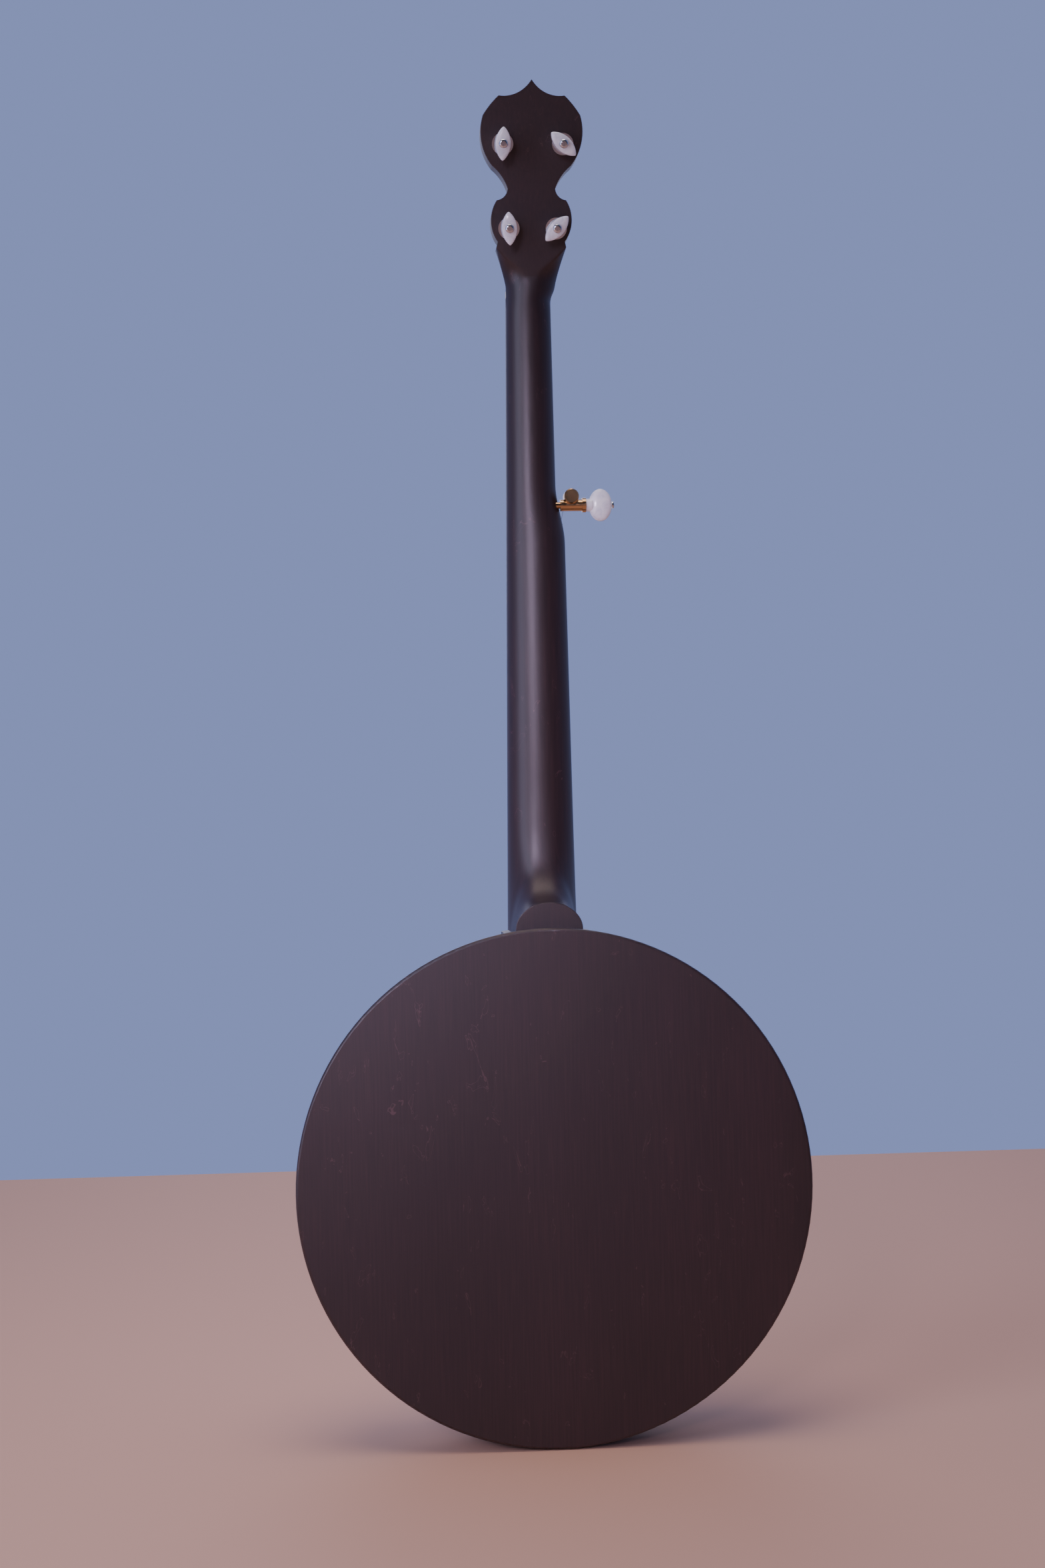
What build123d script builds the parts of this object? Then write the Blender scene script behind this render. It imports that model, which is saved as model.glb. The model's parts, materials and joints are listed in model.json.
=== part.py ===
from build123d import *
from math import cos, radians, sin, tan
import os

# Five-string resonator banjo, millimetres.
# Origin: centre of the resonator's back face. +Z runs up the neck, +Y is the
# back, so the strings and the head face -Y and the fifth peg is on the -X side.

# ---------------------------------------------------------------- driving sizes
RESONATOR_R = 177.8          # 14 in resonator
RESONATOR_DEPTH = 62.0
BACK_THICKNESS = 4.0
WALL_INNER_R = 168.0
WALL_FRONT_R = 173.5         # the wall draws in towards its front rim
STRAP_R = 176.6              # doubler over the wall's joint, at the neck
STRAP_HALF_WIDTH = 31.0

RIM_INNER_R = 124.0          # 11 in maple rim
RIM_OUTER_R = 138.0
RIM_FRONT = -76.0
RIM_BACK = -18.0
HEAD_FRONT = -84.0           # plane of the drum head
HEAD_THICKNESS = 0.4
HOOP_R = 146.0
HOOP_FRONT = -88.0
HOOK_COUNT = 16
HOOK_CIRCLE_R = 149.2
HOOK_ROD_R = 1.6
FLANGE_BACK = -58.0
FLANGE_THICKNESS = 2.0
FLANGE_R = 167.6
ROD_LEVELS = (-48.0, -28.0)  # two coordinator rods, one above the other
ROD_R = 3.2

SCALE_LENGTH = 666.75        # 26.25 in from nut to bridge
FRET_COUNT = 22
NECK_ANGLE = 2.5             # the neck leans back from the head by this much
NECK_START = (0.0, -86.8, 146.5)
FINGERBOARD_THICKNESS = 5.0
FRET_OVERHANG = 3.0          # fingerboard beyond the last fret
NUT_WIDTH = 32.0
NECK_TAPER = 0.0131          # sideways run of each straight edge, per mm
HALF_WIDTH_AT_END = 25.0     # at the last fret
STEP_TOP = 348.0             # the fifth-string step in the treble edge
STEP_BOTTOM = 305.5

PEGHEAD_ANGLE = 14.0
PEGHEAD_CENTRE = 1.0
PEGHEAD_DEPTH = 12.5         # front face to back face, square to the neck
PEGHEAD_FRONT = 2.5
V_POINT = 12.0               # the flat back runs down to a point, this far above the nut
VOLUTE_TOP = 31.8            # where the neck's round back has run out
NUT_DEPTH = 17.9             # the neck's depth at the nut

CAP_LEVEL = -14.5            # back face of the heel cap
CAP_THICKNESS = 3.0
CAP_HALF_WIDTH = 23.4
CAP_ROUND_HEIGHT = 18.4
CAP_TOP = 195.0

BRIDGE_HEIGHT = 15.9

# ---------------------------------------------------------------- worked-out sizes
NUT_AT = SCALE_LENGTH * (1 - 2 ** (-FRET_COUNT / 12)) + FRET_OVERHANG
FIFTH_FRET_AT = NUT_AT - SCALE_LENGTH * (1 - 2 ** (-5 / 12))
FIFTH_PEG_AT = NUT_AT - 150.0
EDGE_AT_NUT = HALF_WIDTH_AT_END - NECK_TAPER * (NUT_AT - FRET_OVERHANG)

neck_frame = Location(NECK_START, (-NECK_ANGLE, 0, 0))
peghead_frame = neck_frame * Location((PEGHEAD_CENTRE, PEGHEAD_FRONT, NUT_AT), (-PEGHEAD_ANGLE, 0, 0))
PEGHEAD_THICKNESS = PEGHEAD_DEPTH * cos(radians(PEGHEAD_ANGLE))

# String number: sideways place and distance above the nut of its post
TUNERS = {1: (16.7, 48.9), 2: (21.05, 106.0), 3: (-21.05, 106.0), 4: (-16.7, 48.9)}
BUTTON_TURN = {1: 93.0, 2: 88.0, 3: -42.0, 4: 47.0}

os.makedirs("parts", exist_ok=True)


def finish(builder, label):
    """Name a finished piece and write it."""
    builder.part.label = label
    export_step(builder.part, f"parts/{label}.step")
    return builder.part


def on(frame, plane):
    """A plane carried into a local frame."""
    return Plane(frame * plane.location)


def level(y, frame=Location()):
    """The plane across the Y axis at depth y: its normal points to the front."""
    return on(frame, Plane.XZ.offset(-y))


def treble_edge(z):
    """Sideways place of the fingerboard's straight edge, z up from its end."""
    return HALF_WIDTH_AT_END - NECK_TAPER * (z - FRET_OVERHANG)


def fifth_edge(z):
    """The other edge: it steps in beside the fifth peg, in an easy S."""
    lower = -treble_edge(z)
    upper = EDGE_AT_NUT - NUT_WIDTH - 0.0115 * (NUT_AT - z)
    share = min(max((z - STEP_BOTTOM) / (STEP_TOP - STEP_BOTTOM), 0), 1)
    ease = share * share * (3 - 2 * share)
    return lower + (upper - lower) * ease


def neck_depth(z):
    """Depth of the neck's back below the fingerboard's playing face."""
    return 18.0 + 7.5 * (NUT_AT - z) / NUT_AT


# ---------------------------------------------------------------- resonator
with BuildPart() as resonator_back:
    with BuildSketch(level(0)):
        Circle(RESONATOR_R)
    extrude(amount=BACK_THICKNESS)
    fillet(resonator_back.edges().sort_by(Axis.Y)[-1], 2.0)
finish(resonator_back, "resonator_back")

notch_bottom = CAP_LEVEL + 1.5
with BuildPart() as resonator_side:
    with BuildSketch(Plane.XY):
        with BuildLine():
            Polyline(
                (WALL_INNER_R, -BACK_THICKNESS),
                (RESONATOR_R - 1.0, -BACK_THICKNESS),
                (WALL_FRONT_R, -RESONATOR_DEPTH),
                (WALL_INNER_R, -RESONATOR_DEPTH),
                close=True,
            )
        make_face()
    revolve(axis=Axis.Y)
    with BuildSketch(level(-BACK_THICKNESS - 0.5)):
        with Locations((0, STRAP_R - 8)):
            Rectangle(2 * STRAP_HALF_WIDTH, 20)
        Circle(STRAP_R, mode=Mode.INTERSECT)
        Circle(WALL_INNER_R, mode=Mode.SUBTRACT)
    extrude(amount=RESONATOR_DEPTH - BACK_THICKNESS - 2)
    with BuildSketch(level(notch_bottom)):
        with Locations((0, RESONATOR_R)):
            Rectangle(2 * CAP_HALF_WIDTH + 5, 60)
    extrude(amount=80, mode=Mode.SUBTRACT)
finish(resonator_side, "resonator_side")

LUG_ANGLES = (45, 135, 225, 315)
THUMB_SCREW_R = 161.0
with BuildPart() as resonator_lugs:
    for angle in LUG_ANGLES:
        with BuildSketch(level(FLANGE_BACK + 4.0)):
            with PolarLocations(THUMB_SCREW_R + 2, 1, start_angle=angle):
                Rectangle(14, 16)
            Circle(WALL_INNER_R - 0.02, mode=Mode.INTERSECT)
        extrude(amount=3.8)
        with BuildSketch(level(FLANGE_BACK + 16.0)):
            with PolarLocations(WALL_INNER_R - 1, 1, start_angle=angle):
                Rectangle(5, 16)
            Circle(WALL_INNER_R - 0.02, mode=Mode.INTERSECT)
        extrude(amount=12.5)
    with BuildSketch(level(FLANGE_BACK + 5)):
        with PolarLocations(THUMB_SCREW_R, 4, start_angle=45):
            Circle(2.02)
    extrude(amount=8, mode=Mode.SUBTRACT)
finish(resonator_lugs, "resonator_lugs")

# ---------------------------------------------------------------- pot
with BuildPart() as rim:
    with BuildSketch(level(RIM_BACK)):
        Circle(RIM_OUTER_R)
        Circle(RIM_INNER_R, mode=Mode.SUBTRACT)
    extrude(amount=RIM_BACK - RIM_FRONT)
    chamfer(rim.edges().group_by(Axis.Y)[-1], 1.2)
    for depth in ROD_LEVELS:
        with BuildSketch(Plane.XY.offset(-160)):
            with Locations((0, depth)):
                Circle(ROD_R + 0.1)
        extrude(amount=320, mode=Mode.SUBTRACT)
    with BuildSketch(Plane.XY.offset(-142)):
        with Locations((0, -70)):
            Circle(1.52)
    extrude(amount=10, mode=Mode.SUBTRACT)
finish(rim, "rim")

with BuildPart() as tone_ring:
    with BuildSketch(level(RIM_FRONT)):
        Circle(RIM_OUTER_R)
        Circle(131, mode=Mode.SUBTRACT)
    extrude(amount=RIM_FRONT - HEAD_FRONT)
    fillet(tone_ring.edges().group_by(Axis.Y)[0], 2.4)
finish(tone_ring, "tone_ring")

# The head's film is a flat disc, with a formed collar that runs down into the flesh hoop
COLLAR_R = RIM_OUTER_R + 0.05
with BuildPart() as head:
    with BuildSketch(level(HEAD_FRONT)):
        Circle(COLLAR_R + HEAD_THICKNESS)
    extrude(amount=HEAD_THICKNESS)
finish(head, "head")

with BuildPart() as head_collar:
    with BuildSketch(level(RIM_FRONT - 0.4)):
        Circle(COLLAR_R + HEAD_THICKNESS)
        Circle(COLLAR_R, mode=Mode.SUBTRACT)
    extrude(amount=RIM_FRONT - HEAD_FRONT - 0.4)
finish(head_collar, "head_collar")

FLESH_INNER_R = COLLAR_R + HEAD_THICKNESS + 0.05
with BuildPart() as flesh_hoop:
    with BuildSketch(level(RIM_FRONT)):
        Circle(141.6)
        Circle(FLESH_INNER_R, mode=Mode.SUBTRACT)
    extrude(amount=4)
    fillet(flesh_hoop.edges(), 0.6)
finish(flesh_hoop, "flesh_hoop")

with BuildPart() as tension_hoop:
    with BuildSketch(Plane.XY):
        with BuildLine():
            Polyline(
                (141.8, -75),
                (HOOP_R, -75),
                (HOOP_R, HOOP_FRONT),
                (139.2, HOOP_FRONT),
                (139.2, -80.1),
                (141.8, -80.1),
                close=True,
            )
        make_face()
    revolve(axis=Axis.Y)
    fillet(tension_hoop.edges().group_by(Axis.Y)[0], 0.8)
finish(tension_hoop, "tension_hoop")

# Sixteen hooks, half a pitch either side of the neck
HOOK_START = 90 + 180 / HOOK_COUNT
HOOK_ARM_LEVEL = HOOP_FRONT - 0.1
with BuildPart() as bracket_hooks:
    with BuildSketch(level(FLANGE_BACK + 5)):
        with PolarLocations(HOOK_CIRCLE_R, HOOK_COUNT, start_angle=HOOK_START):
            Circle(HOOK_ROD_R)
    extrude(amount=FLANGE_BACK + 5 - HOOK_ARM_LEVEL + 2.4)
    with BuildSketch(level(HOOK_ARM_LEVEL)):
        with PolarLocations(HOOK_CIRCLE_R - 3.2, HOOK_COUNT, start_angle=HOOK_START):
            SlotOverall(9.6, 3.2)
    extrude(amount=2.4)
finish(bracket_hooks, "bracket_hooks")

with BuildPart() as bracket_nuts:
    with BuildSketch(level(FLANGE_BACK + 6.5)):
        with PolarLocations(HOOK_CIRCLE_R, HOOK_COUNT, start_angle=HOOK_START):
            RegularPolygon(3.6, 6)
    extrude(amount=6.5)
    with BuildSketch(level(FLANGE_BACK + 5.2)):
        with PolarLocations(HOOK_CIRCLE_R, HOOK_COUNT, start_angle=HOOK_START):
            Circle(HOOK_ROD_R + 0.02)
    extrude(amount=6, mode=Mode.SUBTRACT)
finish(bracket_nuts, "bracket_nuts")

with BuildPart() as flange:
    with BuildSketch(level(FLANGE_BACK)):
        Circle(FLANGE_R)
        Circle(RIM_OUTER_R + 0.05, mode=Mode.SUBTRACT)
        with PolarLocations(HOOK_CIRCLE_R, HOOK_COUNT, start_angle=HOOK_START):
            Circle(HOOK_ROD_R + 0.1, mode=Mode.SUBTRACT)
        with PolarLocations(155.5, HOOK_COUNT, start_angle=90, rotate=True):
            SlotOverall(30, 7, rotation=90, mode=Mode.SUBTRACT)
        with PolarLocations(THUMB_SCREW_R + 1.2, 4, start_angle=45):
            Rectangle(12, 14)
        with PolarLocations(THUMB_SCREW_R, 4, start_angle=45):
            Circle(2.1, mode=Mode.SUBTRACT)
        Circle(FLANGE_R, mode=Mode.INTERSECT)
        with Locations((0, 160)):
            Rectangle(52.5, 60, mode=Mode.SUBTRACT)
    extrude(amount=FLANGE_THICKNESS)
finish(flange, "flange")

# Knurled heads stand in front of the flange, their shanks reach into the lugs
flange_front = FLANGE_BACK - FLANGE_THICKNESS
with BuildPart() as thumb_screws:
    with BuildSketch(level(FLANGE_BACK + 4.5)):
        with PolarLocations(THUMB_SCREW_R, 4, start_angle=45):
            Circle(2.0)
    extrude(amount=7)
    with BuildSketch(level(flange_front)):
        with PolarLocations(THUMB_SCREW_R, 4, start_angle=45):
            Circle(4.8)
    extrude(amount=6)
    fillet(thumb_screws.edges().group_by(Axis.Y)[0], 0.8)
finish(thumb_screws, "thumb_screws")

with BuildPart() as coordinator_rods:
    with BuildSketch(Plane.XY.offset(-148)):
        for depth in ROD_LEVELS:
            with Locations((0, depth)):
                Circle(ROD_R)
    extrude(amount=148 + 164)
finish(coordinator_rods, "coordinator_rods")

# One nut inside the rim at the neck and one outside it at the tail, on each rod
ROD_NUT_STARTS = (118.4, -144.0)
with BuildPart() as rod_nuts:
    for start in ROD_NUT_STARTS:
        with BuildSketch(Plane.XY.offset(start)):
            for depth in ROD_LEVELS:
                with Locations((0, depth)):
                    RegularPolygon(6.4, 6)
                    Circle(ROD_R + 0.02, mode=Mode.SUBTRACT)
        extrude(amount=5.4 if start > 0 else 5.8)
finish(rod_nuts, "rod_nuts")

# ---------------------------------------------------------------- neck
def neck_section(front, back, power=2.0, half=None):
    """A section of the neck, in the plane that holds two (y, z) points and the X axis.

    It is flat in front and round behind: an ellipse at power 2, a fuller U above that.
    """
    middle = 0.0 if half else (treble_edge(front[1]) + fifth_edge(front[1])) / 2
    half = half or (treble_edge(front[1]) - fifth_edge(front[1])) / 2
    reach = Vector(0, back[0] - front[0], back[1] - front[1])
    plane = Plane(origin=(middle, *front), x_dir=(1, 0, 0), z_dir=Vector(1, 0, 0).cross(reach))
    points = []
    for step in range(13):
        angle = radians(180 * step / 12)
        x = half * abs(cos(angle)) ** (2 / power)
        points.append((x if step < 6 else -x, reach.length * abs(sin(angle)) ** (2 / power)))
    with BuildSketch(on(neck_frame, plane)) as section:
        with BuildLine():
            Spline(*points, tangents=((0, 1), (0, -1)))
            Line(points[-1], points[0])
        make_face()
    return section.sketch


def shaft_section(z, depth=None):
    """A section straight across the neck."""
    return neck_section((FINGERBOARD_THICKNESS, z), (depth or neck_depth(z), z))


# The heel's sections fan round from the cap to the shaft: front y, z, back y, z, half, power
HEEL_FAN = (
    (72, -12, 72, 50.9, 23.1, 3.6),
    (63, -12, 63, 51.0, 23.3, 3.6),
    (50, -12, 54, 51.6, 23.6, 3.5),
    (34, -12, 44, 54.9, 24.0, 3.3),
    (20, -12, 36.5, 61.2, 24.5, 3.0),
    (5, -12, 30.5, 70.6, 25.2, 2.7),
    (5, 18, 27, 82, 24.8, 2.45),
    (5, 50, 25, 97, 24.38, 2.25),
    (5, 86, 24.0, 115, 23.91, 2.1),
    (5, 118, 23.5, 130, 23.49, 2.03),
    (5, 150, 23.17, 150, 23.07, 2.0),
)
FAN_STEPS = 3
SHAFT_START = 150.0


def fan_sections():
    """The fan's sections, with more between them: each value runs on a smooth curve."""
    rows = [HEEL_FAN[0], *HEEL_FAN, HEEL_FAN[-1]]
    sections = []
    for around in zip(rows, rows[1:], rows[2:], rows[3:]):
        for step in range(FAN_STEPS):
            t = step / FAN_STEPS
            values = []
            for a, b, c, d in zip(*around):
                bend = (2 * a - 5 * b + 4 * c - d) * t**2 + (3 * b - a - 3 * c + d) * t**3
                values.append(b + ((c - a) * t + bend) / 2)
            front_y, front_z, back_y, back_z, half, power = values
            front_y = max(front_y, FINGERBOARD_THICKNESS)
            sections.append(neck_section((front_y, front_z), (back_y, back_z), power, half))
    return sections


def peghead_outline():
    """Half of the fiddle-shaped outline, from the nut to the tip."""
    nut_edge = EDGE_AT_NUT - PEGHEAD_CENTRE
    with BuildLine() as outline:
        Line((0, 0), (nut_edge, 0))
        Line((nut_edge, 0), (nut_edge, 7))
        ThreePointArc((nut_edge, 7), (20.0, 18.5), (24.9, VOLUTE_TOP))
        Line((24.9, VOLUTE_TOP), (24.0, 35.6))
        ThreePointArc((24.0, 35.6), (28.75, 48.5), (24.6, 63.3))
        ThreePointArc((24.6, 63.3), (18.7, 66.4), (16.85, 70.8))
        ThreePointArc((16.85, 70.8), (20.7, 78.4), (27.9, 86.0))
        ThreePointArc((27.9, 86.0), (35.7, 103.5), (34.3, 119.0))
        ThreePointArc((34.3, 119.0), (30.2, 124.6), (23.15, 131.9))
        ThreePointArc((23.15, 131.9), (8.6, 134.4), (0, 142.4))
        Line((0, 142.4), (0, 0))
    return outline.line


lean = tan(radians(PEGHEAD_ANGLE))
outline_frame = neck_frame * Location((PEGHEAD_CENTRE, 0, NUT_AT))
with BuildPart() as peghead_slab:
    with BuildSketch(level(-20, outline_frame)):
        with BuildLine():
            add(peghead_outline())
        make_face()
        mirror(about=Plane.YZ)
    extrude(amount=-90)
    with BuildSketch(on(neck_frame, Plane.YZ.offset(-60))):
        with BuildLine():
            Polyline(
                (PEGHEAD_FRONT + 5 * lean, NUT_AT + 5),
                (PEGHEAD_FRONT + 150 * lean, NUT_AT + 150),
                (PEGHEAD_FRONT + PEGHEAD_DEPTH + 150 * lean, NUT_AT + 150),
                (PEGHEAD_FRONT + PEGHEAD_DEPTH + V_POINT * lean, NUT_AT + V_POINT),
                (PEGHEAD_FRONT + PEGHEAD_DEPTH + V_POINT * lean, NUT_AT),
                (FINGERBOARD_THICKNESS, NUT_AT),
                (FINGERBOARD_THICKNESS, NUT_AT + 5),
                close=True,
            )
        make_face()
    extrude(amount=120, mode=Mode.INTERSECT)

# The neck's round back carries on under the slab and opens out into it
BLEND = ((0.0, 16.0, 14.9), (V_POINT, 18.9, 15.0), (20.6, 22.6, 20.5), (VOLUTE_TOP, 27.9, 44.0))
BLEND_FRONT = 3.0
with BuildPart() as peghead_keep:
    for rise, half, depth in BLEND:
        with BuildSketch(on(neck_frame, Plane.XY.offset(NUT_AT + rise))):
            with BuildLine():
                middle = PEGHEAD_CENTRE + 1.7 * max(0, 1 - rise / 20)
                back = EllipticalCenterArc((middle, BLEND_FRONT), half, depth, arc_size=180)
                Polyline(back @ 0, back @ 0 + Vector(0, -13), back @ 1 + Vector(0, -13), back @ 1)
            make_face()
    loft()
    with BuildSketch(on(neck_frame, Plane.XY.offset(NUT_AT + VOLUTE_TOP))):
        with Locations((0, 30)):
            Rectangle(120, 140)
    extrude(amount=140)

STEP_SECTIONS = (STEP_BOTTOM - 4, 312, 320, 327, 334, 342, STEP_TOP + 4)
with BuildPart() as neck:
    for section in fan_sections():
        add(section)
    add(shaft_section(SHAFT_START))
    add(shaft_section(STEP_SECTIONS[0]))
    loft(ruled=True)
    for z in STEP_SECTIONS:
        add(shaft_section(z))
    loft()
    add(shaft_section(STEP_SECTIONS[-1]))
    add(shaft_section(NUT_AT, NUT_DEPTH))
    loft(ruled=True)
    add(peghead_slab.part.intersect(peghead_keep.part))
    # The heel stops at the cap, at the rim and behind the tension hoop
    with BuildSketch(Plane.YZ.offset(-40)):
        with Locations((40 + CAP_LEVEL - CAP_THICKNESS, 150)):
            Rectangle(80, 160)
    extrude(amount=80, mode=Mode.SUBTRACT)
    with BuildSketch(level(20)):
        Circle(RIM_OUTER_R + 0.05)
    extrude(amount=140, mode=Mode.SUBTRACT)
    with BuildSketch(level(-73.5)):
        Circle(HOOP_R + 0.4)
    extrude(amount=40, mode=Mode.SUBTRACT)
    # Truss rod channel, rod bores, peg holes
    with BuildSketch(on(neck_frame, Plane.XY.offset(20))):
        with Locations((0, 9)):
            Rectangle(5.2, 8.2)
    extrude(amount=NUT_AT - 16, mode=Mode.SUBTRACT)
    with BuildSketch(Plane.XY.offset(130)):
        for depth in ROD_LEVELS:
            with Locations((0, depth)):
                Circle(ROD_R + 0.02)
    extrude(amount=36, mode=Mode.SUBTRACT)
    for across, along in TUNERS.values():
        with BuildSketch(level(30, peghead_frame * Location((across, 0, along)))):
            Circle(4.8)
        extrude(amount=60, mode=Mode.SUBTRACT)
    with BuildSketch(on(neck_frame, Plane.YZ.offset(-8))):
        with Locations((10, FIFTH_PEG_AT)):
            Circle(2.42)
    extrude(amount=-20, mode=Mode.SUBTRACT)
finish(neck, "neck")

cap_straight = CAP_TOP - CAP_ROUND_HEIGHT
with BuildPart() as heel_cap:
    with BuildSketch(level(CAP_LEVEL)):
        with BuildLine():
            arc = EllipticalCenterArc((0, cap_straight), CAP_HALF_WIDTH, CAP_ROUND_HEIGHT, arc_size=180)
            Polyline(arc @ 0, (CAP_HALF_WIDTH, 132), (-CAP_HALF_WIDTH, 132), arc @ 1)
        make_face()
        Circle(RIM_OUTER_R + 0.3, mode=Mode.SUBTRACT)
    extrude(amount=CAP_THICKNESS)
    fillet(heel_cap.edges().group_by(Axis.Y)[-1].filter_by(GeomType.ELLIPSE), 0.5)
finish(heel_cap, "heel_cap")


def fingerboard_outline(z_from, z_to):
    """The neck's plan between two heights, with the fifth-string step."""
    step = (STEP_BOTTOM, 310, 318, 326.75, 335.5, 343.5, STEP_TOP)
    with BuildLine() as outline:
        Line((treble_edge(z_from), z_from), (treble_edge(z_to), z_to))
        Line((treble_edge(z_to), z_to), (fifth_edge(z_to), z_to))
        Line((fifth_edge(z_to), z_to), (fifth_edge(STEP_TOP), STEP_TOP))
        Spline(*[(fifth_edge(z), z) for z in reversed(step)])
        Line((fifth_edge(STEP_BOTTOM), STEP_BOTTOM), (fifth_edge(z_from), z_from))
        Line((fifth_edge(z_from), z_from), (treble_edge(z_from), z_from))
    return outline.line


fret_places = [NUT_AT - SCALE_LENGTH * (1 - 2 ** (-n / 12)) for n in range(1, FRET_COUNT + 1)]
MARKED_FRETS = (3, 5, 7, 10, 12, 15, 17, 19)
DOT_R = 2.8
DOT_DEPTH = 1.5
dot_places = []
for number in MARKED_FRETS:
    spot = (fret_places[number - 1] + (fret_places[number - 2] if number > 1 else NUT_AT)) / 2
    middle = (treble_edge(spot) + EDGE_AT_NUT - NUT_WIDTH) / 2 if number < 5 else 0.4
    if number == 12:
        dot_places += [(middle - 8, spot), (middle + 8, spot)]
    else:
        dot_places.append((middle, spot))

FIFTH_NUT_X = -18.2
FIFTH_NUT_Z = FIFTH_FRET_AT + 4.0
with BuildPart() as fingerboard:
    with BuildSketch(level(FINGERBOARD_THICKNESS, neck_frame)):
        with BuildLine():
            add(fingerboard_outline(0.4, NUT_AT))
        make_face()
    extrude(amount=FINGERBOARD_THICKNESS)
    with BuildSketch(level(DOT_DEPTH, neck_frame)):
        with Locations(*dot_places):
            Circle(DOT_R)
    extrude(amount=DOT_DEPTH, mode=Mode.SUBTRACT)
    with BuildSketch(level(3, neck_frame)):
        with Locations((FIFTH_NUT_X, FIFTH_NUT_Z)):
            Circle(1.62)
    extrude(amount=3, mode=Mode.SUBTRACT)
finish(fingerboard, "fingerboard")

with BuildPart() as position_markers:
    with BuildSketch(level(DOT_DEPTH, neck_frame)):
        with Locations(*dot_places):
            Circle(DOT_R)
    extrude(amount=DOT_DEPTH)
finish(position_markers, "position_markers")

FRET_HALF = 1.1
with BuildPart() as frets:
    for place in fret_places:
        with BuildSketch(on(neck_frame, Plane.YZ.offset(fifth_edge(place) + 0.3))):
            with Locations((0, place)):
                Circle(FRET_HALF)
                with Locations((FRET_HALF, 0)):
                    Rectangle(2 * FRET_HALF, 4, mode=Mode.SUBTRACT)
        extrude(amount=treble_edge(place) - fifth_edge(place) - 0.6)
finish(frets, "frets")

NUT_TOP = -1.9
with BuildPart() as nut:
    with BuildSketch(on(neck_frame, Plane.YZ.offset(EDGE_AT_NUT - NUT_WIDTH + 0.1))):
        with BuildLine():
            Polyline(
                (FINGERBOARD_THICKNESS, NUT_AT),
                (NUT_TOP, NUT_AT),
                (NUT_TOP + 1.2, NUT_AT + 4.95),
                (FINGERBOARD_THICKNESS, NUT_AT + 4.95),
                close=True,
            )
        make_face()
    extrude(amount=NUT_WIDTH - 0.2)
finish(nut, "nut")

with BuildPart() as fifth_string_nut:
    with BuildSketch(level(2.9, neck_frame)):
        with Locations((FIFTH_NUT_X, FIFTH_NUT_Z)):
            Circle(1.6)
    extrude(amount=2.9 - NUT_TOP)
finish(fifth_string_nut, "fifth_string_nut")

with BuildPart() as truss_rod:
    with BuildSketch(on(neck_frame, Plane.XY.offset(24))):
        with Locations((0, 9)):
            Rectangle(5.0, 7.9)
    extrude(amount=NUT_AT - 24)
finish(truss_rod, "truss_rod")

COVER_THICKNESS = 1.6
cover_screws = [(0, 12.5), (0, 34.0)]
with BuildPart() as truss_rod_cover:
    with BuildSketch(level(0, peghead_frame)):
        with BuildLine():
            Line((9, 8), (9, 13))
            ThreePointArc((9, 13), (6.2, 24), (0, 39))
            ThreePointArc((0, 39), (-6.2, 24), (-9, 13))
            Polyline((-9, 13), (-9, 8), (9, 8))
        make_face()
        with Locations(*cover_screws):
            Circle(1.1, mode=Mode.SUBTRACT)
    extrude(amount=COVER_THICKNESS)
finish(truss_rod_cover, "truss_rod_cover")

with BuildPart() as truss_cover_screws:
    with BuildSketch(level(0, peghead_frame)):
        with Locations(*cover_screws):
            Circle(1.05)
    extrude(amount=COVER_THICKNESS)
    with BuildSketch(level(-COVER_THICKNESS, peghead_frame)):
        with Locations(*cover_screws):
            Circle(2.0)
    extrude(amount=0.9)
finish(truss_cover_screws, "truss_cover_screws")

# ---------------------------------------------------------------- tuners
# Each tuner's frame: y = 0 on the peghead's front face, its axis along Y
T = PEGHEAD_THICKNESS
DRUM_R = 7.5
CAVITY_R = 4.55
DRUM_BACK = T + 11.4
CARRIER_FRONT = T + 1.5
SUN_BACK = T + 7.2
BUTTON_FRONT = DRUM_BACK + 1.6
BUTTON_THICKNESS = 7.0
BUTTON_BACK = BUTTON_FRONT + BUTTON_THICKNESS
BUTTON_LAYERS = ((0.0, 1.3), (1.7, 0.0), (5.3, 0.0), (BUTTON_THICKNESS, 1.3))
POST_R = 3.0
POST_TOP = -19.0
PLANET_CIRCLE_R = 3.0
STRING_LEVEL = -10.0
SHANK_FRONT = -4.6


def lens_outline(frame, y, inset, turn):
    """The button's outline at one depth: two arcs that meet in two blunt tips."""
    half_length = 11.75 - inset
    half_width = 5.95 - inset
    tip = 1.1 - 0.4 * inset
    with BuildSketch(level(y, frame * Location((0, 0, 0), (0, turn, 0)))) as lens:
        with BuildLine():
            ThreePointArc((-tip, half_length), (-half_width, 0), (-tip, -half_length))
            Line((-tip, -half_length), (tip, -half_length))
            ThreePointArc((tip, -half_length), (half_width, 0), (tip, half_length))
            Line((tip, half_length), (-tip, half_length))
        make_face()
    return lens.sketch


tuner_frames = {n: peghead_frame * Location((x, 0, z)) for n, (x, z) in TUNERS.items()}

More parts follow.
